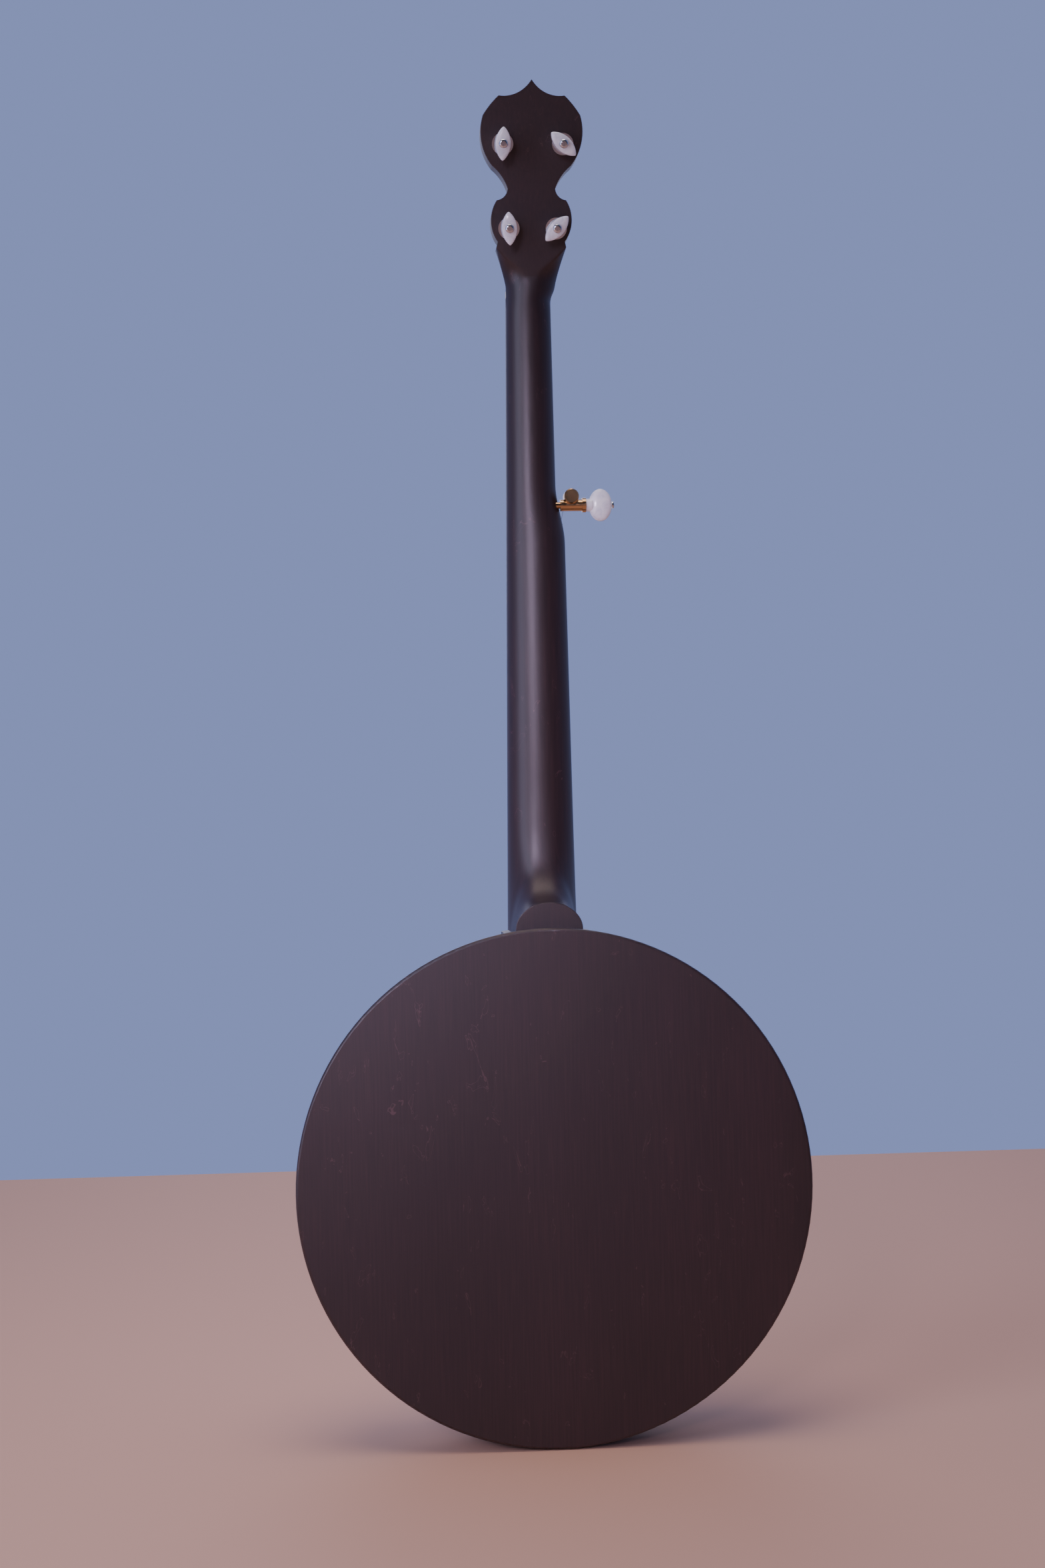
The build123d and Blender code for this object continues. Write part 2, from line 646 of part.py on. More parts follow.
with BuildPart() as tuner_housings:
    for frame in tuner_frames.values():
        with BuildSketch(level(DRUM_BACK, frame)):
            Circle(DRUM_R)
        extrude(amount=DRUM_BACK - T)
    for frame in tuner_frames.values():
        with BuildSketch(level(DRUM_BACK + 1.0, frame)):
            Circle(4.4)
        extrude(amount=1.0)
        with BuildSketch(level(T, frame)):
            Circle(4.75)
        extrude(amount=T - SHANK_FRONT)
        with BuildSketch(level(T + 10.2, frame)):
            Circle(CAVITY_R)
        extrude(amount=8.8, mode=Mode.SUBTRACT)
        with BuildSketch(level(DRUM_BACK + 1.0, frame)):
            Circle(2.06)
        extrude(amount=3.0, mode=Mode.SUBTRACT)
        with BuildSketch(level(T + 2.0, frame)):
            Circle(POST_R + 0.06)
        extrude(amount=T + 2.0 - SHANK_FRONT, mode=Mode.SUBTRACT)
finish(tuner_housings, "tuner_housings")

with BuildPart() as tuner_nuts:
    for frame in tuner_frames.values():
        with BuildSketch(level(0, frame)):
            Circle(7.2)
            Circle(4.77, mode=Mode.SUBTRACT)
        extrude(amount=1.0)
        with BuildSketch(level(-1.0, frame)):
            RegularPolygon(6.6, 6)
            Circle(4.77, mode=Mode.SUBTRACT)
        extrude(amount=2.8)
finish(tuner_nuts, "tuner_nuts")

for number, frame in tuner_frames.items():
    turn = BUTTON_TURN[number] - 90

    with BuildPart() as post:
        with BuildSketch(level(CARRIER_FRONT + 1.8, frame)):
            Circle(4.3)
        extrude(amount=1.7)
        with BuildSketch(level(CARRIER_FRONT + 5.0, frame)):
            with PolarLocations(PLANET_CIRCLE_R, 3):
                Circle(0.5)
        extrude(amount=4.0)
        with BuildSketch(level(CARRIER_FRONT + 1.0, frame)):
            Circle(POST_R)
        extrude(amount=CARRIER_FRONT + 1.0 - POST_TOP)
        chamfer(post.edges().sort_by(Axis.Y)[0], 0.5)
        with BuildSketch(on(frame, Plane.YZ.offset(-5))):
            with Locations((STRING_LEVEL - 3.5, 0)):
                Circle(0.8)
        extrude(amount=10, mode=Mode.SUBTRACT)
    finish(post, f"tuner_{number}_post")

    with BuildPart() as planets:
        with BuildSketch(level(CARRIER_FRONT + 4.9, frame)):
            with PolarLocations(PLANET_CIRCLE_R, 3):
                Circle(1.45)
            with PolarLocations(PLANET_CIRCLE_R, 3):
                Circle(0.53, mode=Mode.SUBTRACT)
        extrude(amount=3.0)
    finish(planets, f"tuner_{number}_planets")

    with BuildPart() as shaft:
        with BuildSketch(level(SUN_BACK, frame)):
            Circle(1.48)
        extrude(amount=SUN_BACK - CARRIER_FRONT - 2.0)
        with BuildSketch(level(T + 10.1, frame)):
            Circle(4.3)
        extrude(amount=T + 10.1 - SUN_BACK)
        with BuildSketch(level(BUTTON_BACK - 0.6, frame)):
            Circle(2.0)
        extrude(amount=BUTTON_BACK - 0.6 - T - 9.0)
        with BuildSketch(level(BUTTON_BACK, frame)):
            Circle(1.22)
        extrude(amount=6.4, mode=Mode.SUBTRACT)
    finish(shaft, f"tuner_{number}_shaft")

    with BuildPart() as button:
        for y, inset in BUTTON_LAYERS:
            add(lens_outline(frame, BUTTON_FRONT + y, inset, turn))
        loft(ruled=True)
        with BuildSketch(level(BUTTON_BACK, frame)):
            Circle(2.02)
        extrude(amount=BUTTON_THICKNESS, mode=Mode.SUBTRACT)
    finish(button, f"tuner_{number}_button")

    with BuildPart() as screw:
        with BuildSketch(level(BUTTON_BACK, frame)):
            Circle(1.2)
        extrude(amount=6.0)
        with BuildSketch(level(BUTTON_BACK + 2.2, frame)):
            Circle(3.15)
        extrude(amount=2.2)
        fillet(screw.edges().sort_by(Axis.Y)[-1], 1.5)
        with BuildSketch(level(BUTTON_BACK + 2.3, frame)):
            Rectangle(3.4, 0.7, rotation=20)
            Rectangle(0.7, 3.4, rotation=20)
        extrude(amount=1.3, mode=Mode.SUBTRACT)
    finish(screw, f"tuner_{number}_screw")

# ---------------------------------------------------------------- fifth peg
# Its frame: the worm's axis along X, the wheel's axis along Y
fifth_frame = neck_frame * Location((0, 10, FIFTH_PEG_AT))
WHEEL_X = -25.5
WHEEL_Z = 6.1
WORM_R = 2.0
WHEEL_R = 4.0


def across(x, frame=fifth_frame):
    """The plane across the worm's axis at x: its normal points away from the neck."""
    return on(frame, Plane.YZ.offset(x))


with BuildPart() as fifth_housing:
    with BuildSketch(across(-8)):
        Circle(2.4)
    extrude(amount=-11)
    with BuildSketch(across(-17.6)):
        Circle(4.2)
    extrude(amount=-18.4)
    with BuildSketch(across(-33.4)):
        Circle(5.25)
    extrude(amount=-2.6)
    with BuildSketch(level(4.6, fifth_frame)):
        with Locations((WHEEL_X, WHEEL_Z)):
            Circle(5.35)
    extrude(amount=9.2)
    with BuildSketch(level(4.7, fifth_frame)):
        with Locations((WHEEL_X, WHEEL_Z)):
            Circle(4.4)
    extrude(amount=7.9, mode=Mode.SUBTRACT)
    with BuildSketch(level(0, fifth_frame)):
        with Locations((WHEEL_X, WHEEL_Z)):
            Circle(2.05)
    extrude(amount=10, mode=Mode.SUBTRACT)
    with BuildSketch(across(-19.5)):
        Circle(WORM_R + 0.15)
    extrude(amount=-12.5, mode=Mode.SUBTRACT)
    with BuildSketch(across(-31)):
        Circle(1.65)
    extrude(amount=-6, mode=Mode.SUBTRACT)
finish(fifth_housing, "fifth_housing")

with BuildPart() as fifth_cap:
    with BuildSketch(level(6.0, fifth_frame)):
        with Locations((WHEEL_X, WHEEL_Z)):
            Circle(5.35)
    extrude(amount=1.4)
    chamfer(fifth_cap.edges().sort_by(Axis.Y)[-1], 0.7)
finish(fifth_cap, "fifth_cap")

with BuildPart() as fifth_worm:
    with BuildSketch(across(-19.8)):
        Circle(WORM_R)
    extrude(amount=-11.8)
    with BuildSketch(across(-31)):
        Circle(1.6)
    extrude(amount=-18)
    with BuildSketch(across(-43)):
        Circle(1.02)
    extrude(amount=-8, mode=Mode.SUBTRACT)
finish(fifth_worm, "fifth_worm")

with BuildPart() as fifth_post:
    with BuildSketch(level(2, fifth_frame)):
        with Locations((WHEEL_X, WHEEL_Z)):
            Circle(WHEEL_R)
    extrude(amount=4)
    with BuildSketch(level(0, fifth_frame)):
        with Locations((WHEEL_X, WHEEL_Z)):
            Circle(2.0)
    extrude(amount=18.5)
    with BuildSketch(across(WHEEL_X - 3)):
        with Locations((-16.8, WHEEL_Z)):
            Circle(0.6)
    extrude(amount=6, mode=Mode.SUBTRACT)
finish(fifth_post, "fifth_post")

FIFTH_BUTTON_X = -46.6
with BuildPart() as fifth_button:
    with BuildSketch(level(4.2, fifth_frame)):
        with Locations((FIFTH_BUTTON_X, 0)):
            Ellipse(8.4, 11.6)
    extrude(amount=8.4)
    fillet(fifth_button.edges().filter_by(GeomType.ELLIPSE), 3.2)
    with BuildSketch(across(-36.3)):
        Circle(4.6)
    extrude(amount=-4.2)
    with BuildSketch(across(-36)):
        Circle(1.62)
    extrude(amount=-14, mode=Mode.SUBTRACT)
    with BuildSketch(across(-49)):
        Circle(1.05)
    extrude(amount=-8, mode=Mode.SUBTRACT)
finish(fifth_button, "fifth_button")

with BuildPart() as fifth_screw:
    with BuildSketch(across(-43.5)):
        Circle(1.0)
    extrude(amount=-12)
    with BuildSketch(across(-55.02)):
        Circle(2.6)
    extrude(amount=-1.5)
    fillet(fifth_screw.edges().filter_by(GeomType.CIRCLE).sort_by(Axis.X)[0], 0.9)
finish(fifth_screw, "fifth_screw")

# ---------------------------------------------------------------- strings and their fittings
def in_neck(x, y, z):
    """A point of the neck's frame in the banjo's own frame."""
    return (neck_frame * Location((x, y, z))).position


def in_peghead(x, y, z):
    """A point of the peghead's frame in the banjo's own frame."""
    return (peghead_frame * Location((x, y, z))).position


BRIDGE_Z = in_neck(0, 0, NUT_AT - SCALE_LENGTH).Z
BRIDGE_TOP = HEAD_FRONT - HEAD_THICKNESS - BRIDGE_HEIGHT
BRIDGE_SPACING = 11.0
TAIL_SPACING = 6.0
CAP_HEIGHT = 2.0

with BuildPart() as bridge:
    with BuildSketch(Plane.XY.offset(BRIDGE_Z - 2.6)):
        foot = HEAD_FRONT - HEAD_THICKNESS
        with BuildLine():
            Polyline(
                (-38, foot), (-30, foot), (-26, foot - 6), (-8, foot - 6), (-4, foot),
                (4, foot), (8, foot - 6), (26, foot - 6), (30, foot), (38, foot),
                (34, foot - 7), (26, BRIDGE_TOP + CAP_HEIGHT), (-26, BRIDGE_TOP + CAP_HEIGHT),
                (-34, foot - 7), close=True,
            )
        make_face()
    extrude(amount=5.2)
finish(bridge, "bridge")

with BuildPart() as bridge_cap:
    with BuildSketch(Plane.XY.offset(BRIDGE_Z - 1.4)):
        with Locations((0, BRIDGE_TOP + CAP_HEIGHT / 2)):
            Rectangle(52, CAP_HEIGHT)
    extrude(amount=2.8)
finish(bridge_cap, "bridge_cap")

TAIL_FRONT_Z = -93.0
TAIL_LEVEL = -94.5
LEG_BACK_Z = -150.2
with BuildPart() as tailpiece:
    with BuildSketch(Plane.YZ.offset(-17)):
        with BuildLine():
            Polyline(
                (TAIL_LEVEL, TAIL_FRONT_Z),
                (TAIL_LEVEL - 2.0, TAIL_FRONT_Z),
                (TAIL_LEVEL - 2.0, LEG_BACK_Z),
                (-64, LEG_BACK_Z),
                (-64, LEG_BACK_Z + 2.4),
                (TAIL_LEVEL, LEG_BACK_Z + 2.4),
                close=True,
            )
        make_face()
    extrude(amount=34)
    with BuildSketch(Plane.XY.offset(LEG_BACK_Z - 1)):
        with Locations((0, -70)):
            Circle(1.6)
    extrude(amount=5, mode=Mode.SUBTRACT)
    fillet(tailpiece.edges().filter_by(Axis.X).sort_by(Axis.Z)[-2:], 0.6)
finish(tailpiece, "tailpiece")

with BuildPart() as tailpiece_bolt:
    with BuildSketch(Plane.XY.offset(LEG_BACK_Z - 3.4)):
        with Locations((0, -70)):
            RegularPolygon(4.4, 6)
    extrude(amount=3.4)
    with BuildSketch(Plane.XY.offset(LEG_BACK_Z)):
        with Locations((0, -70)):
            Circle(1.5)
    extrude(amount=18)
finish(tailpiece_bolt, "tailpiece_bolt")

STRING_R = {1: 0.14, 2: 0.16, 3: 0.19, 4: 0.30, 5: 0.14}
NUT_X = {n: 2.7 + s for n, s in zip((4, 3, 2, 1), (-12.9, -4.3, 4.3, 12.9))}
GAP = 0.03
BRIDGE_GAP = 0.12            # the strings bend over the cap, so they clear its edges


def wire(start, end, radius):
    """One straight run of string, with a ball at its far end to turn the corner."""
    run = Vector(*end) - Vector(*start)
    with BuildPart() as piece:
        with BuildSketch(Plane(origin=start, z_dir=run)):
            Circle(radius)
        extrude(amount=run.length)
        with Locations(Location(end)):
            Sphere(radius)
    return piece.part


with BuildPart() as strings:
    for number, radius in STRING_R.items():
        place = number - 3
        bridge_point = (-place * BRIDGE_SPACING, BRIDGE_TOP - radius - BRIDGE_GAP, BRIDGE_Z)
        tail_point = (-place * TAIL_SPACING, TAIL_LEVEL - 2.0 - radius - GAP, TAIL_FRONT_Z - 6)
        if number == 5:
            nut_point = tuple(in_neck(FIFTH_NUT_X, NUT_TOP - radius - GAP, FIFTH_NUT_Z))
            post_x = WHEEL_X + 2.0 + radius + 0.1
            post_point = tuple(in_neck(post_x, -6.2, FIFTH_PEG_AT + WHEEL_Z))
        else:
            nut_point = tuple(in_neck(NUT_X[number], NUT_TOP - radius - GAP, NUT_AT))
            across_x, along = TUNERS[number]
            inward = -1 if across_x > 0 else 1
            post_x = across_x + inward * (POST_R + radius + 0.1)
            post_point = tuple(in_peghead(post_x, STRING_LEVEL, along))
        add(wire(tail_point, bridge_point, radius))
        add(wire(bridge_point, nut_point, radius))
        add(wire(nut_point, post_point, radius))
finish(strings, "strings")

# ---------------------------------------------------------------- armrest
CLAMP_HOOKS = (5, 6)         # the two hooks below the fifth string that carry the armrest
CLAMP_ANGLES = [HOOK_START + hook * 360 / HOOK_COUNT for hook in CLAMP_HOOKS]
ARM_MIDDLE = sum(CLAMP_ANGLES) / 2
ARM_HALF_ANGLE = 24.0
ARM_FRONT = -97.0
ARM_THICKNESS = 2.0


def polar(radius, angle):
    """A point of the pot's plan, at an angle in degrees."""
    return (radius * cos(radians(angle)), radius * sin(radians(angle)))


with BuildPart() as armrest:
    with BuildSketch(level(ARM_FRONT + ARM_THICKNESS)):
        Circle(155)
        Circle(136, mode=Mode.SUBTRACT)
        with BuildLine():
            Polyline(
                (0, 0),
                polar(220, ARM_MIDDLE - ARM_HALF_ANGLE),
                polar(220, ARM_MIDDLE + ARM_HALF_ANGLE),
                close=True,
            )
        make_face(mode=Mode.INTERSECT)
    extrude(amount=ARM_THICKNESS)
    fillet(armrest.edges().filter_by(Axis.Y), 5)
finish(armrest, "armrest")

with BuildPart() as armrest_clamps:
    for angle in CLAMP_ANGLES:
        with BuildSketch(level(-66)):
            with PolarLocations(HOOK_CIRCLE_R + 2.6, 1, start_angle=angle):
                Rectangle(11.5, 8)
            with PolarLocations(HOOK_CIRCLE_R, 1, start_angle=angle):
                Circle(HOOK_ROD_R + 0.02, mode=Mode.SUBTRACT)
        extrude(amount=4)
        with BuildSketch(level(-68)):
            with PolarLocations(HOOK_CIRCLE_R + 4.6, 1, start_angle=angle):
                Circle(1.8)
        extrude(amount=-68 - ARM_FRONT - ARM_THICKNESS)
finish(armrest_clamps, "armrest_clamps")
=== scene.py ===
import json
import math

import bpy
import numpy as np
from mathutils import Matrix, Vector


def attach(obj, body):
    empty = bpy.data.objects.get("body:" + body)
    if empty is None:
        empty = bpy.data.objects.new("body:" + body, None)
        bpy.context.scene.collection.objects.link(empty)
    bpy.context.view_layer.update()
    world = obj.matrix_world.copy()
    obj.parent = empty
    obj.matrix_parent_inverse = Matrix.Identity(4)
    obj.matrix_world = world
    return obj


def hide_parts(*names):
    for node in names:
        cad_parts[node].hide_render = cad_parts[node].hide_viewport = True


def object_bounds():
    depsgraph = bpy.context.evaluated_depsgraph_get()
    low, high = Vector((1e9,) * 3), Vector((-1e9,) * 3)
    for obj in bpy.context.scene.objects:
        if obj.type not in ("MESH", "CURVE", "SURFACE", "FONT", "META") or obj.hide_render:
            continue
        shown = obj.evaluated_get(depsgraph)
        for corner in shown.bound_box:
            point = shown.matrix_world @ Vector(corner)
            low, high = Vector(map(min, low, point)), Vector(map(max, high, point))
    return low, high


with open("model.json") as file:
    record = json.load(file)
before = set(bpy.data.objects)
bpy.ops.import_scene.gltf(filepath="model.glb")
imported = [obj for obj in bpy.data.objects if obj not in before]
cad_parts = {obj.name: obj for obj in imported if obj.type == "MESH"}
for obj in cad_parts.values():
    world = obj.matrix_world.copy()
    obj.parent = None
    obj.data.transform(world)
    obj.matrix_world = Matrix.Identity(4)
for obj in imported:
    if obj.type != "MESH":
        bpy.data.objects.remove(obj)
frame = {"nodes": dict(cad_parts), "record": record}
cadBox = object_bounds()
print("frame loaded:", len(frame["nodes"]), "CAD nodes")

mm = 0.001


def fromHex(text):
    # sRGB hex to linear red, green, blue, alpha
    parts = [int(text[i:i + 2], 16) / 255 for i in (1, 3, 5)]
    return tuple(((c + 0.055) / 1.055) ** 2.4 if c > 0.04045 else c / 12.92 for c in parts) + (1.0,)


def addNode(tree, kind, settings=None, sockets=None):
    # settings are the node's own options; sockets are values, or outputs to link from
    made = tree.nodes.new(kind)
    for option, value in (settings or {}).items():
        setattr(made, option, value)
    for socket, value in (sockets or {}).items():
        target = made.inputs[socket]
        if isinstance(value, bpy.types.NodeSocket):
            tree.links.new(value, target)
        else:
            target.default_value = value
    return made


def addRamp(tree, source, stops):
    # a colour ramp through (place, colour) stops
    ramp = addNode(tree, "ShaderNodeValToRGB", sockets={"Fac": source})
    band = ramp.color_ramp
    while len(band.elements) < len(stops):
        band.elements.new(0.5)
    for element, (place, colour) in zip(band.elements, stops):
        element.position = place
        element.color = colour
    return ramp.outputs["Color"]


def newMaterial(name):
    made = bpy.data.materials.new(name)
    made.use_nodes = True
    made.node_tree.nodes.clear()
    return made, made.node_tree


def finishMaterial(tree, sockets):
    shader = addNode(tree, "ShaderNodeBsdfPrincipled", sockets=sockets)
    addNode(tree, "ShaderNodeOutputMaterial", sockets={"Surface": shader.outputs["BSDF"]})


def placeOf(tree, scale=(1, 1, 1), turn=(0, 0, 0)):
    # object coordinates in metres, stretched and turned
    coords = addNode(tree, "ShaderNodeTexCoord")
    return addNode(tree, "ShaderNodeMapping", sockets={
        "Vector": coords.outputs["Object"], "Scale": scale, "Rotation": turn}).outputs["Vector"]


def grid(name, points, closeAround=True, capEnds=True, smooth=True):
    # a mesh from an array (rows, columns, 3) in metres; columns go round, rows run along
    rows, columns = points.shape[:2]
    index = np.arange(rows * columns).reshape(rows, columns)
    if closeAround:
        right = np.roll(index, -1, axis=1)
        a, b = index[:-1], right[:-1]
        c, d = right[1:], index[1:]
    else:
        a, b = index[:-1, :-1], index[:-1, 1:]
        c, d = index[1:, 1:], index[1:, :-1]
    faces = np.stack([a, b, c, d], axis=-1).reshape(-1, 4).tolist()
    if capEnds:
        faces.append(index[0][::-1].tolist())
        faces.append(index[-1].tolist())
    mesh = bpy.data.meshes.new(name)
    mesh.from_pydata(points.reshape(-1, 3).tolist(), [], faces)
    mesh.update()
    if smooth:
        mesh.polygons.foreach_set("use_smooth", np.ones(len(mesh.polygons), bool))
    made = bpy.data.objects.new(name, mesh)
    bpy.context.scene.collection.objects.link(made)
    return made


def faceOutwards(piece):
    # turn a closed piece the right way out if its volume is negative
    mesh = piece.data
    mesh.calc_loop_triangles()
    corners = np.empty(len(mesh.loop_triangles) * 3, np.int32)
    mesh.loop_triangles.foreach_get("vertices", corners)
    spots = np.empty(len(mesh.vertices) * 3, np.float32)
    mesh.vertices.foreach_get("co", spots)
    p = spots.reshape(-1, 3)[corners].reshape(-1, 3, 3)
    if np.einsum("ij,ij->i", p[:, 0], np.cross(p[:, 1], p[:, 2])).sum() < 0:
        mesh.flip_normals()
    return piece


def turnX(points, degrees):
    # rotate about X by the right-hand rule
    a = math.radians(degrees)
    turn = np.array([[1, 0, 0], [0, math.cos(a), -math.sin(a)], [0, math.sin(a), math.cos(a)]])
    return points @ turn.T


neckPlace = {"start": (0.0, -86.8, 146.5), "lean": -2.5, "nutAt": 482.65, "pegheadX": 1.0,
             "pegheadFront": 2.5, "pegheadBack": 15.0, "pegheadLean": -14.0}
lean = -math.tan(math.radians(neckPlace["pegheadLean"]))


def inNeck(points):
    # neck frame (millimetres) to the banjo's frame in metres
    return (turnX(points, neckPlace["lean"]) + np.array(neckPlace["start"])) * mm


def inPeghead(points):
    # peghead frame (millimetres) to the banjo's frame in metres
    local = turnX(points, neckPlace["pegheadLean"])
    local = local + np.array([neckPlace["pegheadX"], neckPlace["pegheadFront"], neckPlace["nutAt"]])
    return inNeck(local)


walnutLook = {
    "dark": "#221519", "middle": "#2c1c1f", "light": "#3b2427", "figure": "#7a565a",
    "streak": 0.7, "streakLength": 24, "bandWidth": 70, "figureWidth": 7,
    "fineShare": 0.55, "bandShare": 0.45, "figureShare": 0.4,
    "roughness": 0.48, "coat": 0.3, "coatRoughness": 0.34,
}


def walnutStain(name, look):
    # maple stained dark walnut, rubbed and sprayed with satin lacquer: fine grain runs up the
    # instrument, with broad soft bands and a few pale curls where the figure takes less stain
    made, tree = newMaterial(name)
    fine = addNode(tree, "ShaderNodeTexNoise", {"noise_dimensions": "3D"}, {
        "Vector": placeOf(tree, (1, 1, look["streak"] / look["streakLength"])),
        "Scale": 1000 / look["streak"] / 2, "Detail": 4.0, "Roughness": 0.6})
    bands = addNode(tree, "ShaderNodeTexNoise", {}, {
        "Vector": placeOf(tree, (1, 1, 0.16)), "Scale": 1000 / look["bandWidth"] / 2, "Detail": 2.0,
        "Distortion": 0.4})
    mixed = addNode(tree, "ShaderNodeMath", {"operation": "MULTIPLY_ADD"}, {
        0: fine.outputs["Fac"], 1: look["fineShare"], 2: 0.0})
    both = addNode(tree, "ShaderNodeMath", {"operation": "MULTIPLY_ADD"}, {
        0: bands.outputs["Fac"], 1: look["bandShare"], 2: mixed.outputs["Value"]})
    wood = addRamp(tree, both.outputs["Value"], [
        (0.34, fromHex(look["dark"])), (0.5, fromHex(look["middle"])), (0.68, fromHex(look["light"]))])
    curl = addNode(tree, "ShaderNodeTexNoise", {}, {
        "Vector": placeOf(tree, (1, 1, 0.45), (0, 0.35, 0)), "Scale": 1000 / look["figureWidth"] / 2,
        "Detail": 3.0, "Distortion": 1.6})
    thin = addRamp(tree, curl.outputs["Fac"], [
        (0.665, (0, 0, 0, 1)), (0.672, (1, 1, 1, 1)), (0.679, (0, 0, 0, 1))])
    share = addNode(tree, "ShaderNodeMath", {"operation": "MULTIPLY"}, {
        0: thin, 1: look["figureShare"]})
    colour = addNode(tree, "ShaderNodeMix", {"data_type": "RGBA"}, {
        "Factor": share.outputs["Value"], 6: wood, 7: fromHex(look["figure"])})
    rough = addNode(tree, "ShaderNodeMapRange", {}, {
        "Value": bands.outputs["Fac"], "To Min": look["roughness"] - 0.05,
        "To Max": look["roughness"] + 0.07})
    bump = addNode(tree, "ShaderNodeBump", {}, {
        "Height": fine.outputs["Fac"], "Strength": 0.1, "Distance": 0.00012})
    finishMaterial(tree, {
        "Base Color": colour.outputs[2], "Roughness": rough.outputs["Result"], "IOR": 1.5,
        "Coat Weight": look["coat"], "Coat Roughness": look["coatRoughness"], "Coat IOR": 1.5,
        "Normal": bump.outputs["Normal"]})
    return made


plainWoods = {
    "rimMaple": {"dark": "#8a6238", "light": "#b98c58", "streak": 1.4, "length": 40,
                 "roughness": 0.38, "coat": 0.4},
    "rosewoodBoard": {"dark": "#1c0f0b", "light": "#43281d", "streak": 0.8, "length": 30,
                      "roughness": 0.46, "coat": 0.0},
    "ebonyCap": {"dark": "#0c0a0a", "light": "#1c1817", "streak": 0.6, "length": 20,
                 "roughness": 0.42, "coat": 0.0},
}


def plainWood(name, look):
    # straight-grained wood, sanded and oiled or lacquered: streaks run along the instrument
    made, tree = newMaterial(name)
    grain = addNode(tree, "ShaderNodeTexNoise", {}, {
        "Vector": placeOf(tree, (1, 1, look["streak"] / look["length"])),
        "Scale": 1000 / look["streak"] / 2, "Detail": 5.0, "Roughness": 0.62})
    colour = addRamp(tree, grain.outputs["Fac"], [
        (0.32, fromHex(look["dark"])), (0.66, fromHex(look["light"]))])
    bump = addNode(tree, "ShaderNodeBump", {}, {
        "Height": grain.outputs["Fac"], "Strength": 0.16, "Distance": 0.00015})
    finishMaterial(tree, {
        "Base Color": colour, "Roughness": look["roughness"], "IOR": 1.5, "Coat Weight": look["coat"],
        "Coat Roughness": 0.15, "Normal": bump.outputs["Normal"]})
    return made


metals = {
    "nickelPlate": {"colour": "#cfc9be", "roughness": 0.12, "mark": 0.05, "grit": 2.5},
    "chromePlate": {"colour": "#d6d9df", "roughness": 0.06, "mark": 0.03, "grit": 3.0},
    "goldPlate": {"colour": "#c9a579", "roughness": 0.18, "mark": 0.08, "grit": 1.6},
    "bellBronze": {"colour": "#c79a58", "roughness": 0.24, "mark": 0.08, "grit": 1.2},
    "zincSteel": {"colour": "#a9aaad", "roughness": 0.34, "mark": 0.1, "grit": 0.8},
    "nickelSilver": {"colour": "#c9c3b2", "roughness": 0.2, "mark": 0.08, "grit": 0.8},
    "drawnWire": {"colour": "#bdbab6", "roughness": 0.24, "mark": 0.06, "grit": 0.5},
}


def plated(name, look):
    # polished and plated metal; faint handling haze, spots a few millimetres across, dulls the shine
    made, tree = newMaterial(name)
    haze = addNode(tree, "ShaderNodeTexNoise", {}, {
        "Vector": placeOf(tree), "Scale": 1000 / look["grit"] / 2, "Detail": 4.0})
    rough = addNode(tree, "ShaderNodeMapRange", {}, {
        "Value": haze.outputs["Fac"], "From Min": 0.3, "From Max": 0.7,
        "To Min": look["roughness"] - look["mark"] / 2, "To Max": look["roughness"] + look["mark"]})
    base = fromHex(look["colour"])
    tint = addRamp(tree, haze.outputs["Fac"], [
        (0.35, tuple(c * 0.93 for c in base[:3]) + (1,)), (0.6, base)])
    finishMaterial(tree, {"Base Color": tint, "Metallic": 1.0, "Roughness": rough.outputs["Result"]})
    return made


pearlLook = {"cloud": "#dddee8", "body": "#efeff6", "bright": "#f8f8fb", "flake": 3.2, "roughness": 0.2}


def pearloid(name, look):
    # cellulose pearloid, cast, sliced and buffed: soft swirled flakes a few millimetres across
    made, tree = newMaterial(name)
    swirl = addNode(tree, "ShaderNodeTexNoise", {}, {
        "Vector": placeOf(tree), "Scale": 1000 / look["flake"] / 2, "Detail": 3.0, "Distortion": 1.2})
    colour = addRamp(tree, swirl.outputs["Fac"], [
        (0.3, fromHex(look["cloud"])), (0.5, fromHex(look["body"])), (0.72, fromHex(look["bright"]))])
    finishMaterial(tree, {
        "Base Color": colour, "Roughness": look["roughness"], "IOR": 1.5, "Coat Weight": 0.5,
        "Coat Roughness": 0.06, "Subsurface Weight": 0.12, "Subsurface Radius": (0.002, 0.002, 0.002),
        "Subsurface Scale": 1.0})
    return made


plastics = {
    "blackAcrylic": {"low": "#0b0b0c", "high": "#141416", "spot": 6, "roughness": 0.18, "bump": 0.02},
    "polishedBone": {"low": "#cfc3a2", "high": "#e6dcc2", "spot": 1.5, "roughness": 0.3, "bump": 0.05},
    "mouldedBlack": {"low": "#101011", "high": "#1a1a1c", "spot": 1, "roughness": 0.42, "bump": 0.06},
    "frostedFilm": {"low": "#e2e1dc", "high": "#eeeeea", "spot": 0.7, "roughness": 0.62, "bump": 0.22},
}


